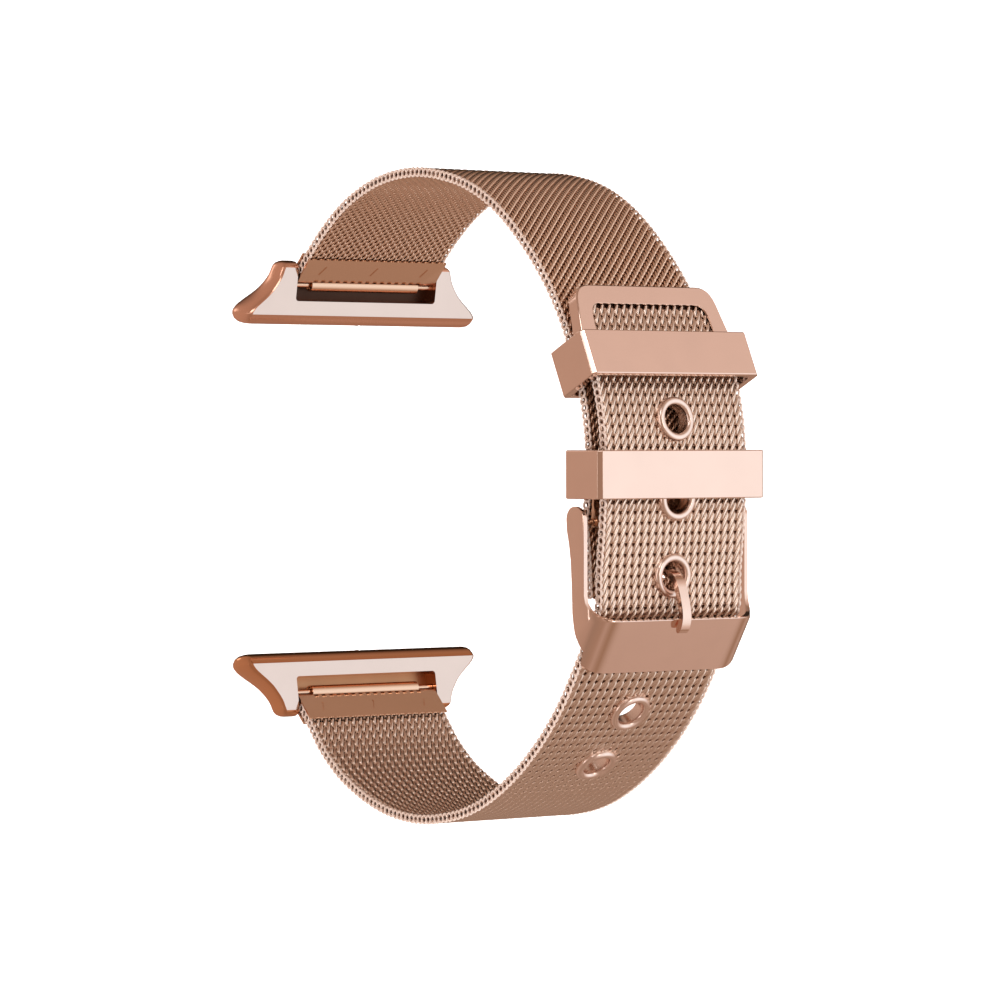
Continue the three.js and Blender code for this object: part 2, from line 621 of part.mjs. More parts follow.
// ---------- end clamps: sheet folded over the end of the mesh, with a knuckle for the bar ----------
const makeClamp = (prefix, side) => {
  const c = barCentre(1);
  // local t runs from the bar into the strap, local n toward the wrist
  const at = (t, n) => [c.y - 0.7071 * t - 0.7071 * n, c.z + 0.7071 * t - 0.7071 * n];
  const inner = 0.28;
  const outer = -0.96;
  const fold = [
    at(1.0, inner), at(4.45, inner), at(4.45, inner + 0.22), at(0.9, inner + 0.22),
    at(0.62, inner + 0.05), at(0.62, -0.6), at(0.9, outer - 0.22), at(4.0, outer - 0.22),
    at(4.0, outer), at(1.0, outer),
  ];
  const half = BAND_W / 2 + 0.1;
  let solid = toSolid(prismX(fold, -half, half));
  solid = solid.add(toSolid(rodX(KNUCKLE_R, -KNUCKLE_HALF, KNUCKLE_HALF, c.y, c.z)));
  solid = solid.subtract(toSolid(rodX(KNUCKLE_BORE, -11, 11, c.y, c.z)));
  const [toothY, toothZ] = at(1.0, inner + 0.15);
  for (let i = -7; i <= 7; i += 1) {
    const notch = new THREE.BoxGeometry(0.58, 0.5, 0.62);
    notch.rotateX((3 * Math.PI) / 4);
    solid = solid.subtract(toSolid(notch.translate(i * 1.08, toothY, toothZ)));
  }
  [-7.4, 0.1, 7.5].forEach((x) => {
    const crimp = new THREE.BoxGeometry(0.22, 1.4, 0.2);
    crimp.rotateZ(-0.42);
    crimp.rotateX((3 * Math.PI) / 4);
    const [y, z] = at(2.75, inner + 0.24);
    solid = solid.subtract(toSolid(crimp.translate(x, y, z)));
  });
  const geometry = toGeometry(solid);
  if (side < 0) geometry.applyMatrix4(new THREE.Matrix4().makeRotationY(Math.PI));
  place(`${prefix}_end_clamp`, toGeometry(toSolid(geometry)), BRIGHT_METAL);
};

// ---------- assembly ----------
makeStraps();
makeTailTip();
makeEyelets();
makeKeeper("upper_keeper", UPPER_KEEPER);
makeKeeper("lower_keeper", LOWER_KEEPER);
makeBuckleFrame();
makeTongue();
makeBuckleHinge();
makeBar("buckle_bar", BUCKLE_PIVOT.y, BUCKLE_PIVOT.z, BUCKLE_TUBE_R, 0.3, BUCKLE_TUBE_HALF,
  BUCKLE_TIP_R, 11.5);
[["upper", 1], ["lower", -1]].forEach(([prefix, side]) => {
  makeAdapter(prefix, side);
  makeClamp(prefix, side);
  const c = barCentre(side);
  makeBar(`${prefix}_bar`, c.y, c.z, TUBE_R, TUBE_BORE, TUBE_HALF, TIP_R, TIP_REACH);
});

export default group;
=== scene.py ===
"""A rose-gold woven-mesh watch band, buckled in a loop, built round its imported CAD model.

Lengths are written in millimetres in the band's own frame and turned to metres where an object is
made. X runs across the band, -Y is the buckle side, +Y the watch side and +Z is up.
"""
import math

import bmesh
import bpy
import numpy as np
from mathutils import Matrix, Vector


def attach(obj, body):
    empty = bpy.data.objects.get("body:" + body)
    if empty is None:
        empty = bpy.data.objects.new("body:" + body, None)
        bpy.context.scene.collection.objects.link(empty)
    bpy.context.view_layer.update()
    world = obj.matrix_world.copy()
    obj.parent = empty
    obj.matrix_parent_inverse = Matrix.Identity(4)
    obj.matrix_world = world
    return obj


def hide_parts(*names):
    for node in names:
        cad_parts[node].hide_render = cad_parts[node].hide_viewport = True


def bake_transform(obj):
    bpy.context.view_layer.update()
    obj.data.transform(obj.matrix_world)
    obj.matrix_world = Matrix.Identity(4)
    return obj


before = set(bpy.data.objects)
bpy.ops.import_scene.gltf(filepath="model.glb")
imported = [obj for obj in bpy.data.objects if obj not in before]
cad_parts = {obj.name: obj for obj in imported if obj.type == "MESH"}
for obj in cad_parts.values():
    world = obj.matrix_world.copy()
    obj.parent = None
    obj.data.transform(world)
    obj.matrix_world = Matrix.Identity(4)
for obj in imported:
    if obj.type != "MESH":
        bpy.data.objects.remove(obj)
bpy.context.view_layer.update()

MM = 0.001
ADAPTER_Z = 20.7  # height of the adapters' inner edges
ADAPTER_TILT = math.radians(9.4)
SHIFT_Y = 28.7  # path stations are written from the adapters' flat faces
MESH_HALF = 9.8  # half the width of the woven rows
MESH_T = 1.12  # thickness over the wires
MESH_START = 0.3  # where the first row lies along each strap
TURN_PITCH = 1.03  # one turn of a woven wire, across the strap
# Row spacing, row height and wire radius of the finer buckle strap and of the hole strap, and steps
# to a turn. A wire leans by "swing" turns on each face, and every second row starts "brick" turns
# further on.
FINE = {"pitch": 0.50, "height": 1.10, "wire": 0.18, "swing": 0.04, "brick": 0.5, "steps": 12}
COARSE = {"pitch": 1.18, "height": 2.12, "wire": 0.24, "swing": 0.20, "brick": 0.0, "steps": 16}
CLOSE = dict(COARSE, pitch=1.06, height=1.9)
WIRE_SIDES = 6
# Loops that close the weave along both edges: spacing, reach along the strap, how far out of the
# rows they stand and lean, how far they stay below the wires' faces, wire radius and its sides.
LINK_PITCH = 0.82
LINK_REACH = 0.45
LINK_OUT = 0.08
LINK_LEAN = 0.06
LINK_INSET = 0.10
LINK_WIRE = 0.14
LINK_SIDES = 8
# The dark strip deep in the weave: it stands for the wires there, and its dark colour is painted
# shade in the gaps between the wires.
DEPTH_HALF_T = 0.04
DEPTH_OVERHANG = 0.06
DEPTH_STEP = 0.4
DEPTH_COLUMNS = 50
# Eyelets: spacing, radius of hole and rim, and how far round its centre each layer is cut away.
EYELET_PITCH = 8.6
EYELET_HOLE = 1.56
EYELET_RIM = 2.5
WEAVE_CUT = 1.98
DEPTH_CUT = 1.95
BEND_LENGTH = 3.0  # the length of strap over which a strap's end bends
# Welding, flattening and softening of the CAD shapes' edges.
WELD_DISTANCE = 2e-6
FLAT_ANGLE = math.radians(0.6)
SHARP_ANGLE = math.radians(28)
VIEW_AZIMUTH = math.radians(37.05)  # the camera looks this way, turned from +Y toward +X


# ---------- camera ----------
def make_camera():
    """The picture's camera: 160 mm lens, 0.53 m away, nearly level."""
    tilt, roll = math.radians(0.693), math.radians(-0.074)
    look = Vector((math.sin(VIEW_AZIMUTH) * math.cos(tilt),
                   math.cos(VIEW_AZIMUTH) * math.cos(tilt), -math.sin(tilt)))
    level = Vector((math.cos(VIEW_AZIMUTH), -math.sin(VIEW_AZIMUTH), 0.0))
    right = level * math.cos(roll) + level.cross(look) * math.sin(roll)
    up = right.cross(look)
    data = bpy.data.cameras.new("camera")
    data.lens = 159.9
    data.sensor_width = 36.0
    data.clip_start = 0.01
    data.clip_end = 20.0
    camera = bpy.data.objects.new("camera", data)
    rotation = Matrix((right, up, -look)).transposed().to_4x4()
    place = Matrix.Translation((-0.30735, -0.40450, 0.00557))
    camera.matrix_world = place @ rotation
    bpy.context.collection.objects.link(camera)
    bpy.context.scene.camera = camera


# ---------- materials ----------
def metal(name, colour, roughness, grain, scale, stretch=(1, 1, 1)):
    """Metal whose roughness and colour vary a little, in grains set by scale and stretch."""
    material = bpy.data.materials.new(name)
    material.use_nodes = True
    nodes, links = material.node_tree.nodes, material.node_tree.links
    shader = nodes["Principled BSDF"]
    shader.inputs["Metallic"].default_value = 1.0
    place = nodes.new("ShaderNodeTexCoord")
    mapping = nodes.new("ShaderNodeMapping")
    mapping.inputs["Scale"].default_value = stretch
    noise = nodes.new("ShaderNodeTexNoise")
    noise.inputs["Scale"].default_value = scale
    noise.inputs["Detail"].default_value = 3.0
    links.new(place.outputs["Object"], mapping.inputs["Vector"])
    links.new(mapping.outputs["Vector"], noise.inputs["Vector"])
    rough = nodes.new("ShaderNodeMapRange")
    rough.inputs["To Min"].default_value = max(0.02, roughness - grain)
    rough.inputs["To Max"].default_value = roughness + grain
    links.new(noise.outputs["Fac"], rough.inputs["Value"])
    links.new(rough.outputs["Result"], shader.inputs["Roughness"])
    tint = nodes.new("ShaderNodeMix")
    tint.data_type = "RGBA"
    factor, pale, dull = tint.inputs[0], tint.inputs[6], tint.inputs[7]
    pale.default_value = (*colour, 1.0)
    dull.default_value = (*[c * 0.93 for c in colour], 1.0)
    links.new(noise.outputs["Fac"], factor)
    links.new(tint.outputs[2], shader.inputs["Base Color"])
    return material


WOVEN = metal("woven_wire", (0.94, 0.79, 0.69), 0.25, 0.06, 900.0)
# painted shade: the buckle strap's wire is the same metal as the hole strap's, painted deeper and
# more orange for the shade over its arch
FINE_WOVEN_SHADED = metal("fine_woven_wire_painted_shade", (0.92, 0.70, 0.56), 0.25, 0.06, 900.0)
CURL = metal("edge_curl", (0.98, 0.84, 0.76), 0.32, 0.05, 900.0)
CURL.node_tree.nodes["Principled BSDF"].inputs["Metallic"].default_value = 0.5  # cream and only half metallic: painted sheen that brightens the edge loops
# painted shade: a dark copy of the wire metal, for the strip that darkens the weave's gaps
GAP_SHADE = metal("gap_painted_shade", (0.42, 0.25, 0.18), 0.55, 0.05, 900.0)
RING = metal("eyelet_metal", (0.97, 0.80, 0.72), 0.24, 0.04, 400.0)
POLISHED = metal("polished_rose_gold", (0.94, 0.72, 0.62), 0.12, 0.02, 260.0)
SATIN = metal("satin_rose_gold", (0.88, 0.62, 0.46), 0.2, 0.03, 300.0, (0.2, 1, 1))
# Painted light and shade on the adapters' one rose gold: a dimmer flat face, and a deeper, more
# orange back and ends as painted shade, lighter on the upper adapter.
FACE = metal("flat_face_metal", (0.765, 0.645, 0.59), 0.12, 0.02, 260.0)
BULB = metal("bulb_painted_shade", (0.84, 0.42, 0.23), 0.14, 0.02, 260.0)
UPPER_BULB = metal("streaked_bulb_painted_shade", (0.95, 0.56, 0.41), 0.22, 0.03, 260.0, (0.15, 1, 1))
# painted shade on the adapters' slot walls: dark brown on the lower adapter, near black on the upper
# one
SLOT_SHADE = metal("slot_wall", (0.50, 0.26, 0.14), 0.35, 0.05, 300.0)
SHADED_RECESS = metal("dark_slot_wall", (0.07, 0.04, 0.03), 0.4, 0.05, 300.0)
STEEL = metal("bare_steel", (0.62, 0.60, 0.58), 0.25, 0.05, 500.0)


# ---------- meshes ----------
def new_object(name, verts, quads, material, tris=()):
    """A smooth mesh object from millimetre vertices in the band's frame."""
    mesh = bpy.data.meshes.new(name)
    verts = np.asarray(verts, dtype=np.float32) * MM
    quads = np.asarray(quads, dtype=np.int32).reshape(-1, 4)
    tris = np.asarray(tris, dtype=np.int32).reshape(-1, 3)
    mesh.vertices.add(len(verts))
    mesh.vertices.foreach_set("co", verts.ravel())
    loops = np.concatenate([quads.ravel(), tris.ravel()])
    mesh.loops.add(len(loops))
    mesh.loops.foreach_set("vertex_index", loops)
    counts = np.concatenate([np.full(len(quads), 4), np.full(len(tris), 3)])
    starts = np.concatenate([[0], np.cumsum(counts)[:-1]])
    mesh.polygons.add(len(counts))
    mesh.polygons.foreach_set("loop_start", starts.astype(np.int32))
    mesh.update(calc_edges=True)
    mesh.validate()
    mesh.shade_smooth()
    mesh.materials.append(material)
    obj = bpy.data.objects.new(name, mesh)
    bpy.context.collection.objects.link(obj)
    return obj


class Tubes:
    """Collects round wires with capped ends into one mesh."""

    def __init__(self, sides):
        self.sides = sides
        self.verts, self.quads, self.tris = [], [], []
        self.count = 0

    def add(self, path, radius):
        """Adds a wire along (n, 3) points; it must never run straight along X."""
        tangent = np.gradient(path, axis=0)
        tangent /= np.linalg.norm(tangent, axis=1, keepdims=True)
        x_axis = np.array([1.0, 0.0, 0.0])
        across = x_axis - tangent * (tangent @ x_axis)[:, None]
        across /= np.linalg.norm(across, axis=1, keepdims=True)
        other = np.cross(tangent, across)
        angle = np.arange(self.sides) * 2 * math.pi / self.sides
        ring = (across[:, None, :] * np.cos(angle)[None, :, None]
                + other[:, None, :] * np.sin(angle)[None, :, None])
        self.verts.append((path[:, None, :] + ring * radius).reshape(-1, 3))
        n, k = len(path), self.sides
        i = np.arange(n - 1)[:, None] * k
        j = np.arange(k)[None, :]
        after = (j + 1) % k
        base = self.count
        self.quads.append(np.stack([i + j, i + after, i + k + after, i + k + j],
                                   axis=-1).reshape(-1, 4) + base)
        fan = np.arange(1, k - 1)
        self.tris.append(np.stack([np.zeros_like(fan), fan + 1, fan], axis=-1) + base)
        end = base + (n - 1) * k
        self.tris.append(np.stack([np.zeros_like(fan), fan, fan + 1], axis=-1) + end)
        self.count += n * k

    def make(self, name, material):
        """The object that holds every wire added so far."""
        return new_object(name, np.concatenate(self.verts), np.concatenate(self.quads), material,
                          np.concatenate(self.tris))


# ---------- strap paths: the same stations as the CAD straps ----------
BUCKLE_STRAP_PATH = [
    (-0.31, 25.71), (-2.36, 27.76), (-5.0, 30.1), (-9.1, 32.95), (-13.2, 34.85), (-17.2, 36.0),
    (-21.2, 36.53), (-25.1, 36.53), (-29.0, 36.0), (-32.8, 35.05), (-36.6, 33.5), (-40.3, 31.25),
    (-43.9, 28.3), (-47.4, 24.75), (-49.9, 21.6), (-52.0, 18.2), (-53.17, 15.74), (-54.11, 13.41),
    (-55.0, 11.0), (-55.8, 7.6), (-56.15, 4.7), (-56.2, 2.0), (-56.02, 0.0), (-55.7, -2.0),
    (-55.62, -3.7), (-55.92, -5.4), (-56.14, -7.2), (-56.26, -9.3), (-56.4, -11.5),
]
HOLE_STRAP_PATH = [
    (-0.31, -25.71), (-2.36, -27.76), (-3.5, -29.1), (-4.8, -30.55), (-6.9, -32.35),
    (-8.9, -33.72), (-11.0, -34.8), (-13.0, -35.68), (-15.0, -36.4), (-17.0, -36.98),
    (-19.0, -37.4), (-21.0, -37.67), (-23.0, -37.82), (-24.9, -37.83), (-26.9, -37.7),
    (-28.8, -37.45), (-30.7, -37.12), (-32.6, -36.68), (-34.5, -36.1), (-36.4, -35.35),
    (-38.3, -34.43), (-40.2, -33.36), (-42.0, -32.2), (-44.2, -30.6), (-46.07, -29.0),
    (-47.93, -27.25), (-49.8, -25.2), (-51.62, -22.9), (-53.42, -20.2), (-54.8, -18.0),
    (-56.1, -15.95), (-57.22, -14.05), (-57.75, -12.8), (-57.9, -11.9), (-57.92, -10.8),
    (-57.9, -9.5), (-58.05, -7.6), (-58.3, -5.5), (-58.55, -2.8), (-58.72, -0.5), (-58.8, 2.0),
    (-58.72, 5.0), (-58.4, 8.0), (-57.7, 11.0), (-56.4, 14.5), (-54.87, 17.47), (-53.6, 20.2),
    (-53.25, 20.95),
]


class StrapCurve:
    """A centripetal Catmull-Rom curve through [y, z] stations, read by distance along it."""

    def __init__(self, stations):
        pts = np.array(stations, dtype=float) + [SHIFT_Y, 0.0]
        knots = np.concatenate([[0], np.cumsum(np.sqrt(np.linalg.norm(np.diff(pts, axis=0),
                                                                     axis=1)))])
        first = 2 * pts[0] - pts[1]
        last = 2 * pts[-1] - pts[-2]
        full = np.vstack([first, pts, last])
        t = np.concatenate([[knots[0] - (knots[1] - knots[0])], knots,
                            [knots[-1] + (knots[-1] - knots[-2])]])
        out = []
        for i in range(1, len(full) - 2):
            u = np.linspace(t[i], t[i + 1], 40, endpoint=False)[:, None]
            p0, p1, p2, p3 = full[i - 1], full[i], full[i + 1], full[i + 2]
            t0, t1, t2, t3 = t[i - 1], t[i], t[i + 1], t[i + 2]
            a1 = (t1 - u) / (t1 - t0) * p0 + (u - t0) / (t1 - t0) * p1
            a2 = (t2 - u) / (t2 - t1) * p1 + (u - t1) / (t2 - t1) * p2
            a3 = (t3 - u) / (t3 - t2) * p2 + (u - t2) / (t3 - t2) * p3
            b1 = (t2 - u) / (t2 - t0) * a1 + (u - t0) / (t2 - t0) * a2
            b2 = (t3 - u) / (t3 - t1) * a2 + (u - t1) / (t3 - t1) * a3
            out.append((t2 - u) / (t2 - t1) * b1 + (u - t1) / (t2 - t1) * b2)
        dense = np.vstack(out + [pts[-1:]])
        self.s = np.concatenate([[0], np.cumsum(np.linalg.norm(np.diff(dense, axis=0), axis=1))])
        self.length = self.s[-1]
        self.y, self.z = dense[:, 0], dense[:, 1]
        step = np.gradient(dense, axis=0)
        step /= np.linalg.norm(step, axis=1, keepdims=True)
        kernel = np.ones(41) / 41
        smooth = np.stack([np.convolve(np.pad(step[:, c], 20, mode="edge"), kernel, "valid")
                           for c in (0, 1)], axis=1)
        smooth /= np.linalg.norm(smooth, axis=1, keepdims=True)
        self.ty, self.tz = smooth[:, 0], smooth[:, 1]

    def at(self, s):
        """Points (y, z) and tangents (ty, tz) at distances s."""
        s = np.asarray(s, dtype=float)
        y, z = np.interp(s, self.s, self.y), np.interp(s, self.s, self.z)
        ty, tz = np.interp(s, self.s, self.ty), np.interp(s, self.s, self.tz)
        return y, z, ty, tz

    def nearest(self, y, z):
        """Distance along the curve of the point nearest to station (y, z)."""
        return float(self.s[np.argmin((self.y - y - SHIFT_Y) ** 2 + (self.z - z) ** 2)])


CURVE_A = StrapCurve(BUCKLE_STRAP_PATH)
CURVE_B = StrapCurve(HOLE_STRAP_PATH)
# Which way a strap's outside lies, seen with +Y to the right and +Z up: to the right of its
# direction of travel on the buckle strap, to the left on the hole strap.
OUT_A, OUT_B = -1.0, 1.0


def strap_points(curve, out, x, s, n):
    """Band-frame points for across x, along s and outward n."""
    y, z, ty, tz = curve.at(s)
    return np.stack([np.broadcast_to(x, y.shape), y - out * tz * n, z + out * ty * n], axis=-1)


# ---------- weave ----------
TONGUE_EYELET = CURVE_B.nearest(-57.9, -9.2)
EYELETS = [TONGUE_EYELET - i * EYELET_PITCH for i in range(-2, 4)]
TAIL_CAP_START = CURVE_B.nearest(-55.2, 16.8)
# The buckle strap's slot for the tongue: half width, and where it starts and ends along the strap.
TONGUE_SLOT = (1.0, CURVE_A.nearest(-55.75, -4.8), CURVE_A.nearest(-56.3, -9.5))


def half_thickness(curve, s):
    """Mesh half thickness: the buckle strap's flap thins toward its end, below the bar."""
    if curve is CURVE_B:
        return np.full_like(s, MESH_T / 2)
    y, z, _, _ = CURVE_A.at(s)
    flap = (z < 0) & (y < 0)
    start_z, start_half, taper, thinnest = -1.0, 0.56, 0.026, 0.40
    thin = np.clip(start_half + (z - start_z) * taper, thinnest, MESH_T / 2)
    return np.where(flap, thin, MESH_T / 2)


def full_width(_):
    """Half width of a strap that doesn't narrow."""
    return MESH_HALF


def narrowing(s):
    """Half width of the hole strap, which narrows where it goes into the tail's cap."""
    lead, cap_half, taper = 0.6, 9.65, 0.155
    if s < TAIL_CAP_START - lead:
        return MESH_HALF
    return cap_half - taper * (s - TAIL_CAP_START)


def clear_of(x, s, holes, hole_radius, slot):
    """Which points lie outside the round holes, given by their stations, and outside the slot."""
    keep = np.ones(len(x), dtype=bool)
    for centre in holes:
        keep &= x ** 2 + (s - centre) ** 2 > hole_radius ** 2
    if slot:
        half, start, end = slot
        keep &= ~((np.abs(x) < half) & (s > start) & (s < end))
    return keep


def weave(name, curve, out, s0, s1, kind, holes, half_at, slot):
    """Three objects for one length of mesh: its rows, its edge loops and its depth strip, painted
    dark as shade.
    """
    return [weave_rows(name, curve, out, s0, s1, kind, holes, half_at, slot),
            edge_loops(f"{name}_edges", curve, out, s0, s1, half_at),
            gap_shade_strip(f"{name}_depth", curve, out, s0, s1, holes, half_at, slot)]


def weave_rows(name, curve, out, s0, s1, kind, holes, half_at, slot):
    """Rows of flattened helices that link with their neighbours, like a Milanese mesh."""
    wires = Tubes(WIRE_SIDES)
    radius, steps = kind["wire"], kind["steps"]
    rows = int(round((s1 - s0) / kind["pitch"]))
    pitch = (s1 - s0) / rows
    for row in range(rows):
        centre = s0 + (row + 0.5) * pitch
        half = half_at(centre)
        shift = row % 2 * kind["brick"] * TURN_PITCH
        first = math.ceil((-half - shift) / TURN_PITCH * steps)
        last = math.floor((half - shift) / TURN_PITCH * steps)
        t = np.arange(first, last + 1) * 2 * math.pi / steps
        x = shift + TURN_PITCH * (t / (2 * math.pi) + kind["swing"] * np.sin(2 * t))
        x = np.clip(x, -half, half)
        s = centre + out * kind["height"] / 2 * np.sin(t)
        s = np.clip(s, s0 - LINK_REACH, s1 + LINK_REACH)
        n = (half_thickness(curve, s) - radius) * np.cos(t)
        points = strap_points(curve, out, x, s, n)
        keep = clear_of(x, s, holes, WEAVE_CUT, slot)
        breaks = np.flatnonzero(np.diff(keep.astype(int)))
        for run in np.split(np.arange(len(t)), breaks + 1):
            if len(run) > 3 and keep[run[0]]:
                wires.add(points[run], radius)
    return wires.make(name, FINE_WOVEN_SHADED if kind is FINE else WOVEN)


def edge_loops(name, curve, out, s0, s1, half_at):
    """A row of small wire loops along each edge of the mesh."""
    curls = Tubes(LINK_SIDES)
    links = int(round((s1 - s0) / LINK_PITCH))
    a = np.linspace(0, 2 * math.pi, 13)
    for link in range(links):
        centre = s0 + (link + 0.5) * (s1 - s0) / links
        thick = half_thickness(curve, np.array([centre]))[0]
        for side in (-1, 1):
            x = side * (half_at(centre) + LINK_OUT + LINK_LEAN * np.cos(a))
            s = centre + LINK_REACH * np.cos(a)
            n = (thick - LINK_INSET) * np.sin(a)
            curls.add(strap_points(curve, out, x, s, n), LINK_WIRE)
    return curls.make(name, CURL)


def gap_shade_strip(name, curve, out, s0, s1, holes, half_at, slot):
    """The wires deep inside the weave, as one thin strip with the eyelets' holes, painted dark as
    the shade between the wires.
    """
    across, along = DEPTH_COLUMNS, int(round((s1 - s0) / DEPTH_STEP))
    s = np.linspace(s0, s1, along + 1)
    half = np.array([half_at(v) + DEPTH_OVERHANG for v in s])
    x = np.linspace(-1, 1, across + 1)[None, :] * half[:, None]
    grid = np.broadcast_to(s[:, None], x.shape)
    verts = [strap_points(curve, out, x.ravel(), grid.ravel(), n)
             for n in (DEPTH_HALF_T, -DEPTH_HALF_T)]
    i = np.arange(along)[:, None] * (across + 1)
    j = np.arange(across)[None, :]
    quads = np.stack([i + j, i + j + 1, i + across + 2 + j, i + across + 1 + j],
                     axis=-1).reshape(-1, 4)
    mid_x, mid_s = x.ravel()[quads].mean(axis=1), grid.ravel()[quads].mean(axis=1)
    quads = quads[clear_of(mid_x, mid_s, holes, DEPTH_CUT, slot)]
    below = quads[:, ::-1] + len(verts[0])
    return new_object(name, np.vstack(verts), np.vstack([quads, below]), GAP_SHADE)


SPLIT_A = CURVE_A.nearest(-9.1, 32.95)
SPLIT_B = CURVE_B.nearest(-8.9, -33.72)


def weave_strap(strap, curve, out, split, kinds, holes=(), half_at=full_width,
                slot=None):
    """One strap: an end length, then three lengths fixed to the band."""
    end = weave(f"weave_{strap}_end", curve, out, MESH_START, split, kinds[0], holes, half_at,
                slot)
    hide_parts(f"{strap}_end")
    for obj in end:
        bend_across(obj, curve, split)
    stations = np.linspace(split, curve.length, 4)
    for i in range(3):
        pieces = weave(f"weave_{strap}_{i + 1}", curve, out, stations[i], stations[i + 1],
                       kinds[i + 1], holes, half_at, slot)
        for obj in pieces:
            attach(obj, "band")
        if i == 0:
            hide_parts(strap)


def make_weave():
    """The mesh of both straps, in lengths; all but the end lengths ride on the band."""
    weave_strap("buckle_strap", CURVE_A, OUT_A, SPLIT_A, [FINE] * 4,
                slot=TONGUE_SLOT)
    weave_strap("hole_strap", CURVE_B, OUT_B, SPLIT_B,
                [CLOSE, CLOSE, COARSE, COARSE], EYELETS, narrowing)


def bend_across(piece, curve, split):
    """Bakes the end length's placement into its mesh; the end length is not bent."""
    y0, z0, _, _ = curve.at(split - BEND_LENGTH)
    y1, z1, _, _ = curve.at(split)
    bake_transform(piece)


# ---------- turned rings ----------
def lathe(name, profile, sides, centre, axis, across, material):
    """A ring turned about an axis from a closed (radius, height) profile."""
    profile = np.array(profile, dtype=float)
    n = len(profile)
    axis, across = np.array(axis), np.array(across)
    third = np.cross(axis, across)
    angle = np.arange(sides) * 2 * math.pi / sides
    radial = np.cos(angle)[:, None] * across + np.sin(angle)[:, None] * third
    verts = (np.array(centre) + radial[:, None, :] * profile[None, :, 0, None]
             + axis * profile[None, :, 1, None]).reshape(-1, 3)
    i = np.arange(sides)[:, None] * n
    j = np.arange(n)[None, :]
    k = (np.arange(sides)[:, None] + 1) % sides * n
    after = (j + 1) % n
    quads = np.stack([i + j, k + j, k + after, i + after], axis=-1).reshape(-1, 4)
    return new_object(name, verts, quads, material)


def make_eyelets():
    """Domed rings pressed through the mesh."""
    middle, reach = (EYELET_HOLE + EYELET_RIM) / 2, (EYELET_RIM - EYELET_HOLE) / 2
    low, outer_top, wrist_top = 0.52, 1.06, 0.92
    domes = []
    for top, sign in ((outer_top, 1), (wrist_top, -1)):
        arc = []
        for i in range(13):
            a = math.pi * (1 - i / 12)
            height = low + (top - low) * math.sin(a) ** 0.8
            arc.append((middle + reach * math.cos(a), sign * height))
        domes.append(arc)
    profile = domes[0] + domes[1][::-1]
    for i, s in enumerate(EYELETS):
        y, z, ty, tz = (float(v) for v in CURVE_B.at(s))
        normal = (0.0, -OUT_B * tz, OUT_B * ty)
        ring = lathe(f"eyelet_ring_{i + 1}", profile, 48, (0, y, z), normal, (1.0, 0.0, 0.0),
                     RING)
        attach(ring, "band")
        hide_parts(f"eyelet_{i + 1}")


# ---------- polished pieces, cut from the CAD shapes ----------
def polish(node, body, material, bevel, segments=2):
    """The node's own shape in a metal finish, with its sharp edges softened by bevel mm."""
    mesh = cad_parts[node].data.copy()
    mesh.name = f"{node}_finish"
    work = bmesh.new()
    work.from_mesh(mesh)
    bmesh.ops.remove_doubles(work, verts=work.verts, dist=WELD_DISTANCE)
    bmesh.ops.dissolve_limit(work, angle_limit=FLAT_ANGLE, verts=work.verts,
                             edges=work.edges)
    if bevel:
        sharp = [e for e in work.edges if len(e.link_faces) == 2
                 and e.calc_face_angle(0) > SHARP_ANGLE]
        bmesh.ops.bevel(work, geom=sharp, offset=bevel * MM, segments=segments, profile=0.6,
                        affect="EDGES", clamp_overlap=True)
    work.to_mesh(mesh)
    work.free()
    mesh.shade_smooth()
    mesh.set_sharp_from_angle(angle=SHARP_ANGLE)
    mesh.materials.clear()
    mesh.materials.append(material)
    obj = bpy.data.objects.new(f"{node}_finish", mesh)
    bpy.context.collection.objects.link(obj)
    even = obj.modifiers.new("flat_faces_stay_flat", "WEIGHTED_NORMAL")
    even.keep_sharp = True
    even.weight = 100
    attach(obj, body)
    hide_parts(node)
    return obj


def tone_adapter(obj, up):
    """Painted light and shade by which way each face turns: the flat face stays pale, the rounded
    back and ends are painted deeper and the slot's wall is painted dark as shade.
    """
    face_slot, bulb_slot, recess_slot = 0, 1, 2
    slot_half, slot_bottom = 10.3, 1.3  # the slot's half width and its height over the inner edge
    obj.data.materials.append(UPPER_BULB if up > 0 else BULB)
    obj.data.materials.append(SHADED_RECESS if up > 0 else SLOT_SHADE)
    tilt = ADAPTER_TILT * up
    face = Vector((0.0, -math.cos(tilt), -math.sin(tilt)))
    edge = Vector((0.0, SHIFT_Y * MM, up * ADAPTER_Z * MM))
    for polygon in obj.data.polygons:
        deep = -(polygon.center - edge).dot(face) / MM
        facing = polygon.normal.dot(face)
        high = abs(polygon.center.z) / MM - ADAPTER_Z
        within = abs(polygon.center.x) < slot_half * MM and high > slot_bottom
        if facing > 0.97 and deep < 0.15:
            polygon.material_index = face_slot
        # painted shade: faces of the slot's wall, set back from the flat face
        elif within and deep > 0.1 and facing > 0.5:
            polygon.material_index = recess_slot
        else:
            polygon.material_index = bulb_slot


def make_trim():
    """Every visible metal piece that isn't woven."""
    polish("upper_keeper", "upper_keeper", POLISHED, 0.05)
    polish("lower_keeper", "lower_keeper", POLISHED, 0.05)
    polish("buckle_frame", "buckle", POLISHED, 0.1)
    polish("tongue", "tongue", POLISHED, 0.16, 3)
    polish("tail_tip_cap", "band", POLISHED, 0.08)
    for side in ("upper", "lower"):
        adapter = polish(f"{side}_adapter", f"{side}_adapter", FACE, 0.1)
        tone_adapter(adapter, 1 if side == "upper" else -1)
        polish(f"{side}_end_clamp", f"{side}_end", SATIN, 0.0)


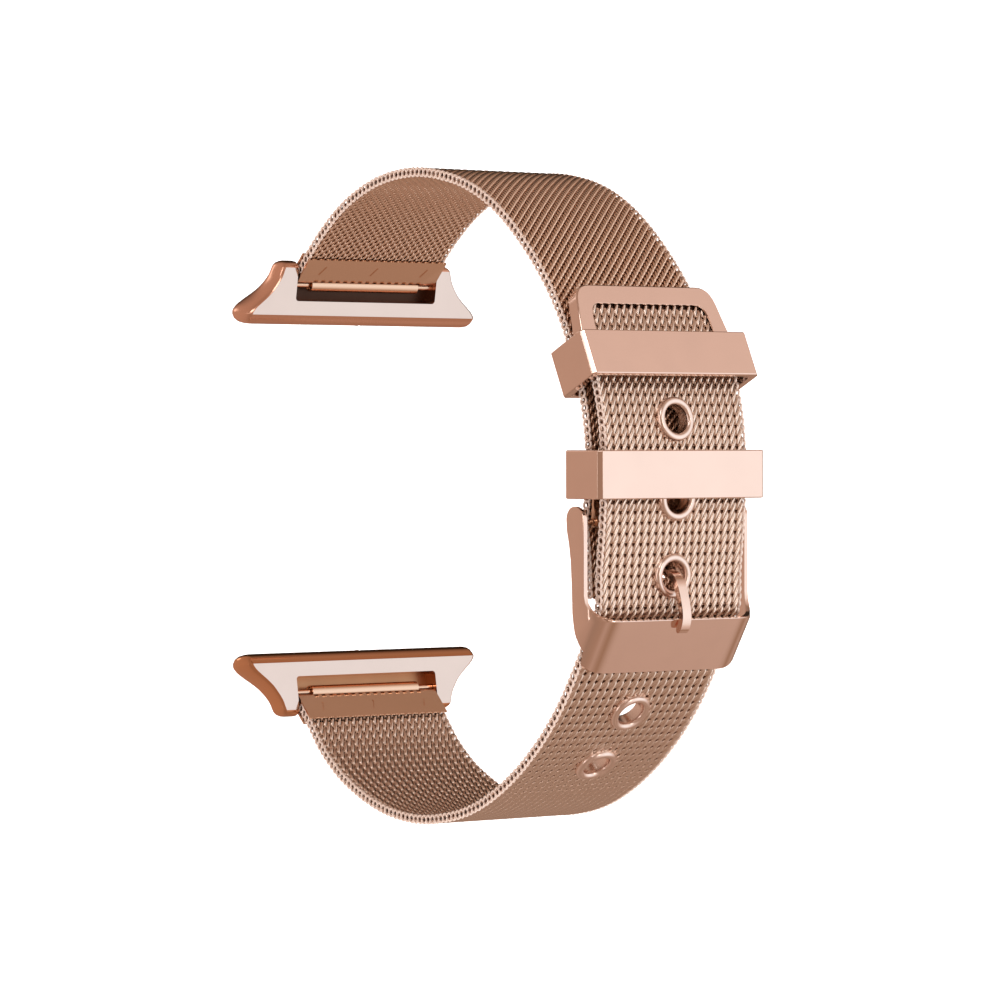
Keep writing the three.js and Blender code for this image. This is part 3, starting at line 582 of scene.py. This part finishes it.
# ---------- finish of the CAD pieces ----------
def dress_cad():
    """Gives every CAD node its metal."""
    for name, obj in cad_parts.items():
        if "spring" in name:
            material = STEEL
        elif any(part in name for part in ("clamp", "loop", "tube", "bar_tip")):
            material = SATIN
        else:
            material = POLISHED
        for slot in obj.material_slots:
            slot.material = material


# ---------- light ----------
def area(name, size, power, place, colour=(1, 1, 1)):
    """A rectangular softbox, in metres and watts, that faces the band's middle."""
    data = bpy.data.lights.new(name, "AREA")
    data.shape = "RECTANGLE"
    data.size, data.size_y = size
    data.energy = power
    data.color = colour
    light = bpy.data.objects.new(name, data)
    light.location = place
    light.rotation_euler = (-Vector(place)).to_track_quat("-Z", "Y").to_euler()
    bpy.context.collection.objects.link(light)


def make_world():
    """A warm, fairly dark room with a broad pale patch toward +X and -Y and a dark corner behind."""
    world = bpy.data.worlds.new("world")
    bpy.context.scene.world = world
    world.use_nodes = True
    nodes, links = world.node_tree.nodes, world.node_tree.links
    background = nodes["Background"]
    place = nodes.new("ShaderNodeTexCoord")
    facing = nodes.new("ShaderNodeVectorMath")
    facing.operation = "DOT_PRODUCT"
    facing.inputs[1].default_value = (0.602, -0.798, 0.0)  # the middle of the pale patch
    links.new(place.outputs["Generated"], facing.inputs[0])
    half = nodes.new("ShaderNodeMath")
    half.operation = "MULTIPLY_ADD"
    half.inputs[1].default_value = 0.5
    half.inputs[2].default_value = 0.5
    links.new(facing.outputs["Value"], half.inputs[0])
    ramp = nodes.new("ShaderNodeValToRGB")
    stops = [(0.0, (0.53, 0.36, 0.28)), (0.30, (0.46, 0.31, 0.24)), (0.42, (0.36, 0.24, 0.18)),
             (0.60, (0.40, 0.26, 0.19)), (0.66, (0.50, 0.35, 0.28)), (0.75, (0.34, 0.21, 0.14)),
             (0.815, (0.58, 0.43, 0.36)), (0.885, (0.77, 0.61, 0.54)),
             (0.945, (1.0, 0.96, 0.94)), (1.0, (1.12, 1.12, 1.14))]
    elements = ramp.color_ramp.elements
    elements[0].position, elements[0].color = stops[0][0], (*stops[0][1], 1)
    elements[1].position, elements[1].color = stops[-1][0], (*stops[-1][1], 1)
    for position, colour in stops[1:-1]:
        elements.new(position).color = (*colour, 1)
    links.new(half.outputs["Value"], ramp.inputs["Fac"])
    links.new(ramp.outputs["Color"], background.inputs["Color"])
    toward = nodes.new("ShaderNodeVectorMath")
    toward.operation = "DOT_PRODUCT"
    toward.inputs[1].default_value = (0.598, 0.657, 0.459)  # the middle of the dark corner
    links.new(place.outputs["Generated"], toward.inputs[0])
    shade = nodes.new("ShaderNodeMapRange")
    shade.interpolation_type = "SMOOTHSTEP"
    for socket, value in (("From Min", 0.66), ("From Max", 0.93), ("To Min", 1.0),
                          ("To Max", 0.08)):
        shade.inputs[socket].default_value = value
    links.new(toward.outputs["Value"], shade.inputs["Value"])
    links.new(shade.outputs["Result"], background.inputs["Strength"])


def make_stage():
    """A pale floor that curves up into a backdrop behind the band."""
    reach, bend_start, bend_radius, top, drop = 9.0, 0.9, 0.5, 2.2, 0.16  # metres
    profile = [(-reach, 0.0), (bend_start, 0.0)]
    for i in range(1, 13):
        a = math.pi / 2 * i / 12
        profile.append((bend_start + bend_radius * math.sin(a),
                        bend_radius - bend_radius * math.cos(a)))
    profile.append((bend_start + bend_radius, top))
    along = Vector((math.sin(VIEW_AZIMUTH), math.cos(VIEW_AZIMUTH), 0))
    across = Vector((math.cos(VIEW_AZIMUTH), -math.sin(VIEW_AZIMUTH), 0))
    verts, quads = [], []
    for i, (distance, height) in enumerate(profile):
        for side in (-reach, reach):
            p = along * distance + across * side
            verts.append((p.x / MM, p.y / MM, (height - drop) / MM))
        if i:
            k = 2 * i
            quads.append((k - 2, k - 1, k + 1, k))
    material = bpy.data.materials.new("pale_floor")
    material.use_nodes = True
    shader = material.node_tree.nodes["Principled BSDF"]
    shader.inputs["Base Color"].default_value = (0.9, 0.9, 0.9, 1)
    shader.inputs["Roughness"].default_value = 0.9
    shader.inputs["Specular IOR Level"].default_value = 0.1
    shader.inputs["Emission Color"].default_value = (1, 1, 1, 1)
    shader.inputs["Emission Strength"].default_value = 1.0
    floor = new_object("floor", verts, quads, material)
    floor.visible_glossy = False


bpy.context.scene.view_settings.view_transform = "Standard"
make_camera()
make_weave()
make_eyelets()
make_trim()
dress_cad()
make_world()
make_stage()
area("key", (0.25, 0.35), 0.8, (-0.6, -0.5, 0.6))
area("left", (0.12, 0.6), 0.5, (-0.75, -0.12, 0.05), (1.0, 0.95, 0.92))
area("front", (0.12, 0.45), 0.38, (-0.06, -0.78, 0.15), (1.0, 0.98, 0.94))
area("rim", (0.2, 0.3), 0.2, (-0.35, 0.72, 0.42), (1.0, 0.94, 0.90))
